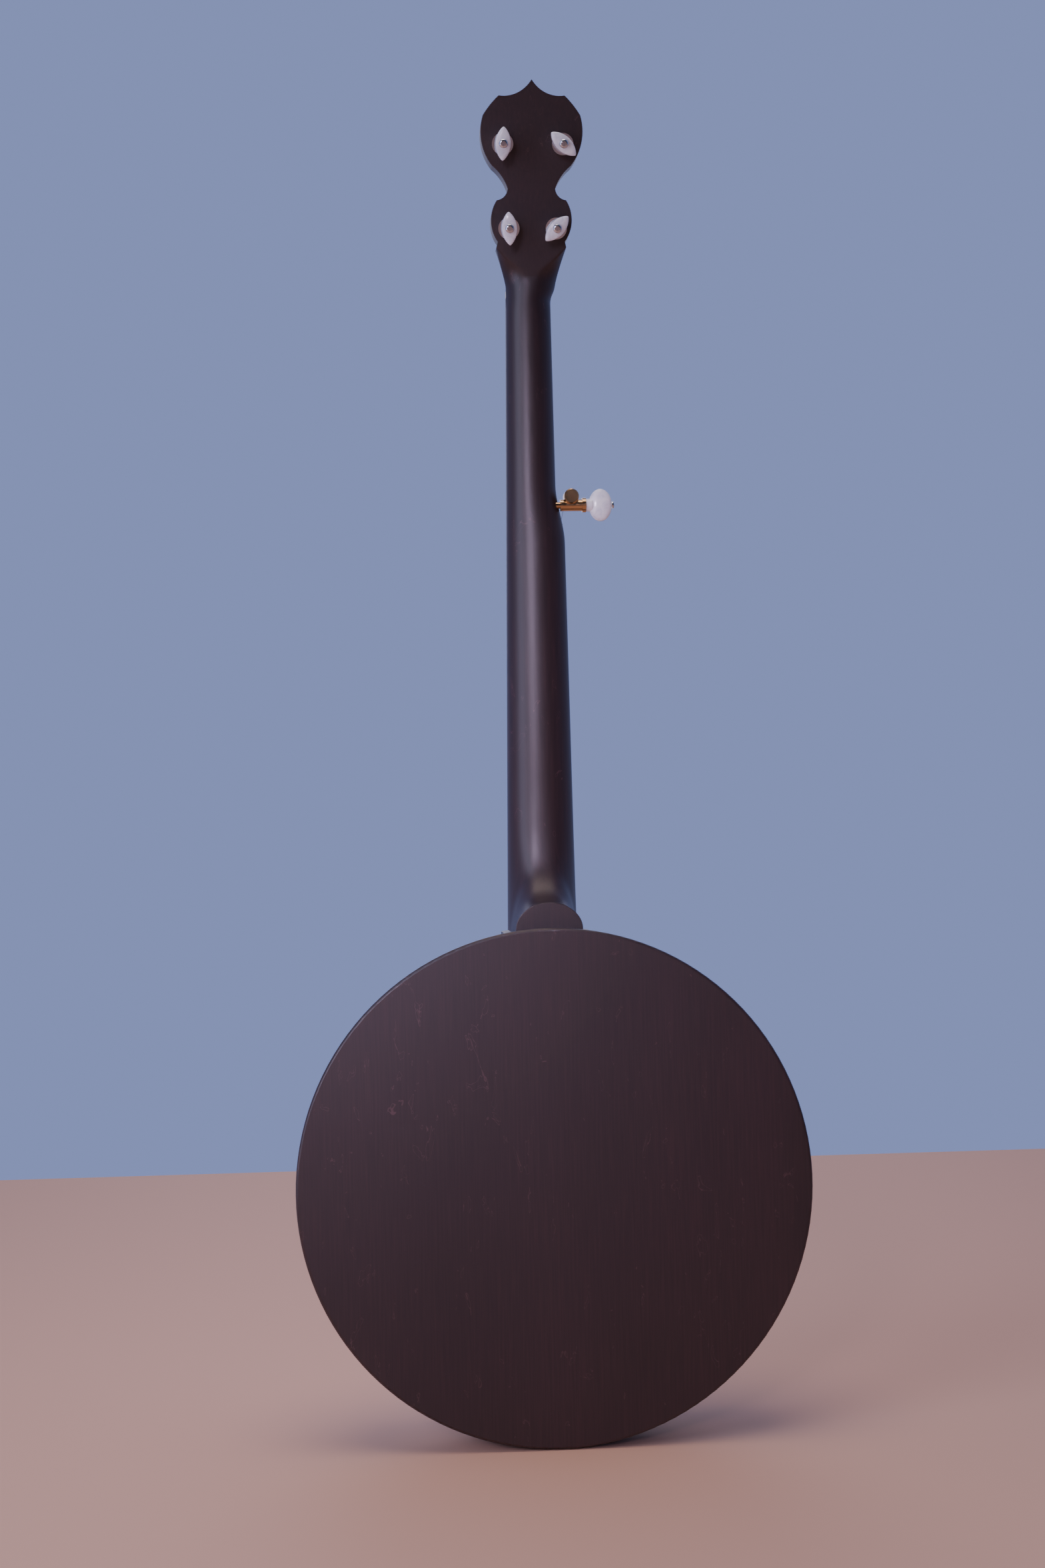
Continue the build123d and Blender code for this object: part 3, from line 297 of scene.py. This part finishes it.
def fineSurface(name, look):
    # a plain body colour with a slight mottle and a fine surface, spot is its size in millimetres
    made, tree = newMaterial(name)
    mottle = addNode(tree, "ShaderNodeTexNoise", {}, {
        "Vector": placeOf(tree), "Scale": 1000 / look["spot"] / 2, "Detail": 3.0})
    colour = addRamp(tree, mottle.outputs["Fac"], [
        (0.35, fromHex(look["low"])), (0.65, fromHex(look["high"]))])
    bump = addNode(tree, "ShaderNodeBump", {}, {
        "Height": mottle.outputs["Fac"], "Strength": look["bump"], "Distance": 0.0002})
    finishMaterial(tree, {
        "Base Color": colour, "Roughness": look["roughness"], "IOR": 1.49, "Normal": bump.outputs["Normal"]})
    return made


finishes = {
    "walnut_stained_maple": walnutStain("walnutStainedMaple", walnutLook),
    "heel_cap_wood": walnutStain("heelCapMaple", {**walnutLook, "figure": "#3b2427"}),
    "rim_maple": plainWood("lacqueredMaple", plainWoods["rimMaple"]),
    "rosewood": plainWood("oiledRosewood", plainWoods["rosewoodBoard"]),
    "ebony": plainWood("oiledEbony", plainWoods["ebonyCap"]),
    "truss_cover_black": fineSurface("polishedBlackAcrylic", plastics["blackAcrylic"]),
    "pearl_inlay": pearloid("cutPearl", {**pearlLook, "flake": 2.0}),
    "bone": fineSurface("polishedBone", plastics["polishedBone"]),
    "black_plastic": fineSurface("mouldedBlackPlastic", plastics["mouldedBlack"]),
    "white_head": fineSurface("frostedPolyester", plastics["frostedFilm"]),
    "bell_bronze": plated("turnedBellBronze", metals["bellBronze"]),
    "nickel_plate": plated("brightNickelPlate", metals["nickelPlate"]),
    "zinc_steel": plated("zincPlatedSteel", metals["zincSteel"]),
    "nickel_silver": plated("dressedNickelSilver", metals["nickelSilver"]),
    "string_steel": plated("drawnStringWire", metals["drawnWire"]),
    "chrome_plate": plated("polishedChrome", metals["chromePlate"]),
    "pearl_plastic": pearloid("buffedPearloid", pearlLook),
    "gold_plate": plated("satinGoldPlate", metals["goldPlate"]),
}

slotOf = {part["node"]: part["material_slot"] for part in frame["record"]["subparts"]}
for nodeName, piece in frame["nodes"].items():
    piece.data.materials.clear()
    piece.data.materials.append(finishes[slotOf[nodeName]])
print("materials on the frame:", len(finishes))


def dress(piece, slotName, body, *replaced):
    piece.data.materials.append(finishes[slotName])
    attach(piece, body)
    if replaced:
        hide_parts(*replaced)


# the peghead's thickness square to its face
pegThickness = ((neckPlace["pegheadBack"] - neckPlace["pegheadFront"])
                * math.cos(math.radians(neckPlace["pegheadLean"])))
pegs = {
    1: {"x": 16.7, "z": 48.9, "turn": 93.0},
    2: {"x": 21.05, "z": 106.0, "turn": 88.0},
    3: {"x": -21.05, "z": 106.0, "turn": -42.0},
    4: {"x": -16.7, "z": 48.9, "turn": 47.0},
}
pegButton = {"halfLength": 11.9, "halfWidth": 5.4, "thickness": 7.0, "front": pegThickness + 13.0,
             "crown": 2.8, "edge": 6.0, "around": 96, "rows": 33}


def lensRadius(angle, halfLength, halfWidth):
    # polar radius of a lens: two arcs of one circle that meet at the tips, softened there
    circle = (halfLength ** 2 + halfWidth ** 2) / (2 * halfWidth)
    shift = circle - halfWidth
    side = np.sqrt(np.cos(angle) ** 2 + 0.002)
    return -shift * side + np.sqrt(circle ** 2 - shift ** 2 * (1 - np.minimum(side, 1) ** 2))


def pillow(radius, look):
    # the outline is scaled by (1 - |s|^edge)^(1/crown), where s runs from face to face along Y
    angle = np.linspace(0, 2 * math.pi, len(radius), endpoint=False)
    s = np.sin(np.linspace(-1, 1, look["rows"]) * math.pi / 2) * 0.9995
    size = (1 - np.abs(s) ** look["edge"]) ** (1 / look["crown"])
    x = size[:, None] * (radius * np.cos(angle))[None, :]
    z = size[:, None] * (radius * np.sin(angle))[None, :]
    y = look["front"] + look["thickness"] * (s[:, None] + 1) / 2 + 0 * x
    return np.stack([x, y, z], axis=-1)


for number, peg in pegs.items():
    around = np.linspace(0, 2 * math.pi, pegButton["around"], endpoint=False)
    shape = pillow(lensRadius(around, pegButton["halfLength"], pegButton["halfWidth"]), pegButton)
    a = math.radians(peg["turn"] - 90)
    x = shape[..., 0] * math.cos(a) + shape[..., 2] * math.sin(a)
    z = -shape[..., 0] * math.sin(a) + shape[..., 2] * math.cos(a)
    shape = np.stack([x + peg["x"], shape[..., 1], z + peg["z"]], axis=-1)
    piece = faceOutwards(grid(f"pegButton_{number}", inPeghead(shape)))
    dress(piece, "pearl_plastic", f"knob_{number}", f"tuner_{number}_button")
print("peg buttons: 4")

fifthButton = {"place": (-46.6, 10.0, 332.65), "halfWide": 8.4, "halfLong": 11.6, "front": -4.2,
               "thickness": 8.4, "crown": 2.2, "edge": 2.4, "rows": 25, "around": 96,
               "collar": [(-36.3, 0.02), (-36.3, 4.2), (-36.7, 4.6), (-40.3, 4.6), (-41.0, 4.0),
                          (-41.0, 0.02)]}


def fifthPegButton(look):
    # an oval pillow, its radius a b / sqrt((b cos)^2 + (a sin)^2), and a turned collar about X
    around = np.linspace(0, 2 * math.pi, look["around"], endpoint=False)
    a, b = look["halfWide"], look["halfLong"]
    oval = pillow(a * b / np.hypot(b * np.cos(around), a * np.sin(around)), look)
    along, radius = np.array(look["collar"]).T
    x = along[:, None] - look["place"][0] + 0 * around[None, :]
    y = radius[:, None] * np.cos(around)[None, :]
    z = radius[:, None] * np.sin(around)[None, :]
    return oval + np.array(look["place"]), np.stack([x, y, z], axis=-1) + np.array(look["place"])


oval, collar = fifthPegButton(fifthButton)
ovalPiece = faceOutwards(grid("fifthPegButton", inNeck(oval)))
collarPiece = faceOutwards(grid("fifthPegCollar", inNeck(collar), smooth=False))
dress(ovalPiece, "pearl_plastic", "fifth_knob", "fifth_button")
dress(collarPiece, "pearl_plastic", "fifth_knob")
print("fifth peg button")

# the heel's sections fan round to the cap: front y, front z, back y, back z, half width, fullness
heelRows = np.array([
    (72, -12, 72, 50.9, 23.1, 3.6), (63, -12, 63, 51.0, 23.3, 3.6), (50, -12, 54, 51.6, 23.6, 3.5),
    (34, -12, 44, 54.9, 24.0, 3.3), (20, -12, 36.5, 61.2, 24.5, 3.0), (5, -12, 30.5, 70.6, 25.2, 2.7),
    (5, 18, 27, 82, 24.8, 2.45), (5, 50, 25, 97, 24.38, 2.25), (5, 86, 24.0, 115, 23.91, 2.1),
    (5, 118, 23.5, 130, 23.49, 2.03), (5, 150, 23.17, 150, 23.07, 2.0)])
neckLook = {"rowsPerFan": 8, "around": 48, "boardDepth": 5.0, "taper": 0.0131, "boardEnd": 3.0,
            "endHalf": 25.0, "nutWidth": 32.0, "fifthTaper": 0.0115, "stepFrom": 305.5, "stepTo": 348.0,
            "depthAtNut": 18.0, "depthGain": 7.5, "capPlane": -17.5, "capTop": 300.0, "rimRadius": 138.1,
            "sharpFrom": 40,
            "stations": [(154, 300, 20), (300, 354, 28), (354, neckPlace["nutAt"] - 8, 22)]}
pegheadLook = {"vPoint": 12.0, "cusps": 31.8, "stations": [(-4, 12, 12), (12, 31.8, 26)], "sunk": 0.04,
               "waist": 17.7, "flare": 7.2, "flareFrom": 7.0, "blend": (-4.0, 8.0), "roundFront": 2.9,
               "roundDepth": 15.0, "opening": 29.0, "openFrom": 5.0, "openOver": 26.8, "spare": 3.0,
               "bevel": 0.0004, "bevelFrom": 50}


def alongStations(stretches):
    # each stretch is from, to and how many; only the last one keeps its far end
    inner = [np.linspace(low, high, count, endpoint=False) for low, high, count in stretches[:-1]]
    return np.concatenate(inner + [np.linspace(*stretches[-1])])


def easeBetween(values, low, high):
    # 0 below low, 1 above high, and s s (3 - 2 s) between them
    share = np.clip((values - low) / (high - low), 0, 1)
    return share * share * (3 - 2 * share)


def smoothRows(rows, steps):
    # each column runs through its rows on a Catmull-Rom curve, with the end rows doubled
    padded = np.vstack([2 * rows[0] - rows[1], rows, 2 * rows[-1] - rows[-2]])
    t = np.linspace(0, 1, steps, endpoint=False)[None, :, None]
    p0, p1, p2, p3 = (padded[i:len(padded) - 3 + i][:, None, :] for i in range(4))
    curve = 0.5 * (2 * p1 + (p2 - p0) * t + (2 * p0 - 5 * p1 + 4 * p2 - p3) * t ** 2
                   + (3 * p1 - p0 - 3 * p2 + p3) * t ** 3)
    return np.vstack([curve.reshape(-1, rows.shape[1]), rows[-1]])


def trebleEdge(z):
    # straight, narrowing towards the nut
    return neckLook["endHalf"] - neckLook["taper"] * (z - neckLook["boardEnd"])


def fifthEdge(z):
    # straight, then an S from the wide part to the narrow part beside the fifth peg
    toNut = neckPlace["nutAt"] - z
    upper = trebleEdge(neckPlace["nutAt"]) - neckLook["nutWidth"] - neckLook["fifthTaper"] * toNut
    return -trebleEdge(z) + (upper + trebleEdge(z)) * easeBetween(z, neckLook["stepFrom"], neckLook["stepTo"])


def neckSections(rows, middle):
    # a section: x = half cos(a)^(2/p), and sin(a)^(2/p) of the way from its front to its back
    angle = np.linspace(0, math.pi, neckLook["around"])
    c, s = np.cos(angle)[None, :], np.sin(angle)[None, :]
    frontY, frontZ, backY, backZ, half, full = (rows[:, i][:, None] for i in range(6))
    x = middle[:, None] + half * np.sign(c) * np.abs(c) ** (2 / full)
    out = np.abs(s) ** (2 / full)
    return np.stack([x, frontY + (backY - frontY) * out, frontZ + (backZ - frontZ) * out], axis=-1)


def shaftRows():
    # straight sections from the heel to just short of the nut, closest along the fifth-string step
    z = alongStations(neckLook["stations"])
    depth = neckLook["depthAtNut"] + neckLook["depthGain"] * (1 - z / neckPlace["nutAt"])
    half = (trebleEdge(z) - fifthEdge(z)) / 2
    rows = np.stack([0 * z + neckLook["boardDepth"], z, depth, z, half, 0 * z + 2], axis=-1)
    return rows, (trebleEdge(z) + fifthEdge(z)) / 2


def openingRows(look):
    # past the nut the outline flares by its share of the way to the cusps ^1.25, and the round back
    # is an ellipse that deepens with the cube of the rise, until the peghead's flat back cuts it off
    rise = alongStations(look["stations"])
    z = neckPlace["nutAt"] + rise
    share = easeBetween(rise, *look["blend"])
    flare = np.clip((rise - look["flareFrom"]) / (look["cusps"] - look["flareFrom"]), 0, 1) ** 1.25
    width = look["waist"] + look["flare"] * flare
    left = fifthEdge(z) * (1 - share) + (neckPlace["pegheadX"] - width) * share
    right = trebleEdge(z) * (1 - share) + (neckPlace["pegheadX"] + width) * share
    middle, half = (left + right) / 2, (right - left) / 2
    roundHalf = half + look["spare"] * np.clip(rise / look["cusps"], 0, 1) ** 1.5
    opened = np.clip(rise - look["openFrom"], 0, None) / look["openOver"]
    depth = look["roundDepth"] + look["opening"] * opened ** 3
    flat = neckPlace["pegheadBack"] + lean * np.maximum(rise, look["vPoint"]) - look["sunk"]
    front = np.where(rise < 0, neckLook["boardDepth"], neckPlace["pegheadFront"] + lean * rise)
    across = half[:, None] * np.cos(np.linspace(0, math.pi, neckLook["around"]))[None, :]
    bulge = np.sqrt(np.clip(1 - (across / roundHalf[:, None]) ** 2, 0, 1))
    back = np.minimum(look["roundFront"] + depth[:, None] * bulge, flat[:, None])
    back = np.maximum(back, front[:, None])
    return np.stack([middle[:, None] + across, back, z[:, None] + 0 * across], axis=-1), front


def neckShell():
    # all sections in the neck's frame, each closed across its front
    fan = smoothRows(heelRows, neckLook["rowsPerFan"])
    straight, straightMiddle = shaftRows()
    opening, front = openingRows(pegheadLook)
    shell = np.concatenate([
        neckSections(fan, 0 * fan[:, 0]), neckSections(straight, straightMiddle), opening])
    ends = np.stack([shell[:, -1], shell[:, 0]], axis=1)
    ends[-len(opening):, :, 1] = front[:, None]
    return np.concatenate([shell, ends], axis=1)


def trimmedToPot(points):
    # the heel stops at the rim, by moving points out along Z, and at the cap's front face
    radius = np.hypot(points[..., 0], points[..., 2])
    points[..., 2] *= np.maximum(neckLook["rimRadius"] * mm / np.maximum(radius, 1e-6), 1)
    cap = np.where(points[..., 2] > neckLook["capTop"] * mm, np.inf, neckLook["capPlane"] * mm)
    points[..., 1] = np.minimum(points[..., 1], cap)
    return points


neckPiece = faceOutwards(grid("carvedNeck", trimmedToPot(inNeck(neckShell()))))
neckPiece.data.set_sharp_from_angle(angle=math.radians(neckLook["sharpFrom"]))

# half of the peghead's outline, from its cusps to its tip
pegheadHalf = [
    ("line", (24.9, 31.8), (24.0, 35.6)), ("arc", (24.0, 35.6), (28.75, 48.5), (24.6, 63.3)),
    ("arc", (24.6, 63.3), (18.7, 66.4), (16.85, 70.8)), ("arc", (16.85, 70.8), (20.7, 78.4), (27.9, 86.0)),
    ("arc", (27.9, 86.0), (35.7, 103.5), (34.3, 119.0)),
    ("arc", (34.3, 119.0), (30.2, 124.6), (23.15, 131.9)),
    ("arc", (23.15, 131.9), (8.6, 134.4), (0.0, 142.4))]


def runPoints(run, steps=14):
    # a straight run's ends, or the arc of the circle through three points
    if run[0] == "line":
        return np.array(run[1:])
    a, b, c = (complex(*p) for p in run[1:])
    w = (c - a) / (b - a)
    centre = (b - a) * (w - abs(w) ** 2) / (w - w.conjugate()) + a
    first, halfway, last = (np.angle(p - centre) for p in (a, b, c))
    sweep = (last - first) % (2 * math.pi)
    if (halfway - first) % (2 * math.pi) > sweep:
        sweep -= 2 * math.pi
    turn = first + sweep * np.linspace(0, 1, steps)
    reach = abs(a - centre)
    return np.stack([centre.real + reach * np.cos(turn), centre.imag + reach * np.sin(turn)], -1)


def pegheadSlab(look):
    # the outline is its right half and the mirror of that, with a V at the bottom; the side walls
    # run square to the neck, so the front and the back outline differ only in y
    tip = pegheadHalf[-1][-1]
    right = np.vstack([runPoints(run)[:-1] for run in pegheadHalf] + [[tip]])
    left = right[::-1][1:] * (-1, 1)
    outline = np.vstack([right, left, [(0.0, look["vPoint"])]])
    x = outline[:, 0] + neckPlace["pegheadX"]
    z = outline[:, 1]
    return np.stack([np.stack([x, neckPlace[face] + lean * z, z + neckPlace["nutAt"]], -1)
                     for face in ("pegheadFront", "pegheadBack")])


pegheadPiece = faceOutwards(grid("pegheadSlab", inNeck(pegheadSlab(pegheadLook)), smooth=False))
edge = pegheadPiece.modifiers.new("softened edge", "BEVEL")
edge.width = pegheadLook["bevel"]
edge.segments = 2
edge.limit_method = "ANGLE"
edge.angle_limit = math.radians(pegheadLook["bevelFrom"])
dress(neckPiece, "walnut_stained_maple", "root", "neck")
dress(pegheadPiece, "walnut_stained_maple", "root")
print("neck and peghead carved")

view = {"place": (0.120, 1.4919, 0.241), "turn": (0.02483, 0.01912, 0.06816), "lens": 50, "sensor": 36}
# from behind the banjo, along -Y, tipped by a small rotation vector in radians
looking = np.array([[-1.0, 0, 0], [0, 0, 1.0], [0, -1.0, 0]])  # right, up, forward
vector = Vector(view["turn"])
small = np.array(Matrix.Rotation(vector.length, 3, vector.normalized()))
rows = looking @ small
camera = bpy.data.objects.new("camera", bpy.data.cameras.new("camera"))
bpy.context.scene.collection.objects.link(camera)
camera.data.lens = view["lens"]
camera.data.sensor_width = view["sensor"]
camera.data.sensor_fit = "AUTO"
camera.matrix_world = Matrix([
    [rows[0][0], rows[1][0], -rows[2][0], view["place"][0]],
    [rows[0][1], rows[1][1], -rows[2][1], view["place"][1]],
    [rows[0][2], rows[1][2], -rows[2][2], view["place"][2]],
    [0, 0, 0, 1]])
bpy.context.scene.camera = camera
print("camera set")

studio = {"halfWide": 4, "frontEdge": -1.3, "backEdge": 4, "under": 0.0005, "floor": "#e6b394",
          "floorRoughness": 0.75, "wall": "#8492c8", "wallUntil": -0.2, "room": "#3a3b48",
          "roomFrom": 0.75, "worldStrength": 1.0}
floorLook, floorTree = newMaterial("pale floor")
finishMaterial(floorTree, {"Base Color": fromHex(studio["floor"]), "Roughness": studio["floorRoughness"]})
floorAt = cadBox[0][2] - studio["under"]
floor = grid("studioFloor", np.array([
    [[side * studio["halfWide"], studio[end], floorAt] for side in (-1, 1)]
    for end in ("frontEdge", "backEdge")]), False, False, False)
floor.data.materials.append(floorLook)

# the wall's colour ahead of the camera, turning to a darker room behind it
world = bpy.data.worlds.new("studio")
bpy.context.scene.world = world
world.use_nodes = True
worldTree = world.node_tree
coords = addNode(worldTree, "ShaderNodeTexCoord")
split = addNode(worldTree, "ShaderNodeSeparateXYZ", sockets={"Vector": coords.outputs["Generated"]})
shade = addNode(worldTree, "ShaderNodeMapRange", {}, {
    "Value": split.outputs["Y"], "From Min": studio["wallUntil"], "From Max": studio["roomFrom"],
    "To Min": 0.0, "To Max": 1.0})
room = addNode(worldTree, "ShaderNodeMix", {"data_type": "RGBA"}, {
    "Factor": shade.outputs["Result"], 6: fromHex(studio["wall"]), 7: fromHex(studio["room"])})
worldTree.links.new(room.outputs[2], worldTree.nodes["Background"].inputs["Color"])
worldTree.nodes["Background"].inputs["Strength"].default_value = studio["worldStrength"]

lights = {
    "windowSide": {"place": (1.6, 1.4, 1.2), "at": (0, 0, 0.3), "size": 1.3, "power": 15, "colour": "#d8dcff",
                   "spread": 180},
    "sheen": {"place": (0.5, 1.6, 0.62), "at": (0.16, 0, 0.28), "size": 0.4, "power": 1.0,
              "colour": "#e6d2f6", "spread": 34},
    "lowSide": {"place": (1.4, 0.9, 0.25), "at": (0, 0, 0.3), "size": 0.8, "power": 7, "colour": "#cfd3ff",
                "spread": 180},
    "overhead": {"place": (0.2, 0.5, 2.6), "at": (0, 0.5, 0), "size": 1.8, "power": 26, "colour": "#ffe8d6",
                 "spread": 180},
    "frontSide": {"place": (0.0, -2.3, 1.2), "at": (0, 0, 0.1), "size": 1.6, "power": 8, "colour": "#f4f0ff",
                  "spread": 180},
}
for name, look in lights.items():
    data = bpy.data.lights.new(name, "AREA")
    data.energy = look["power"]
    data.shape = "DISK"
    data.size = look["size"]
    data.color = fromHex(look["colour"])[:3]
    data.spread = math.radians(look["spread"])
    lamp = bpy.data.objects.new(name, data)
    bpy.context.scene.collection.objects.link(lamp)
    lamp.location = look["place"]
    lamp.rotation_euler = (Vector(look["at"]) - Vector(look["place"])).to_track_quat("-Z", "Y").to_euler()
print("studio ready")
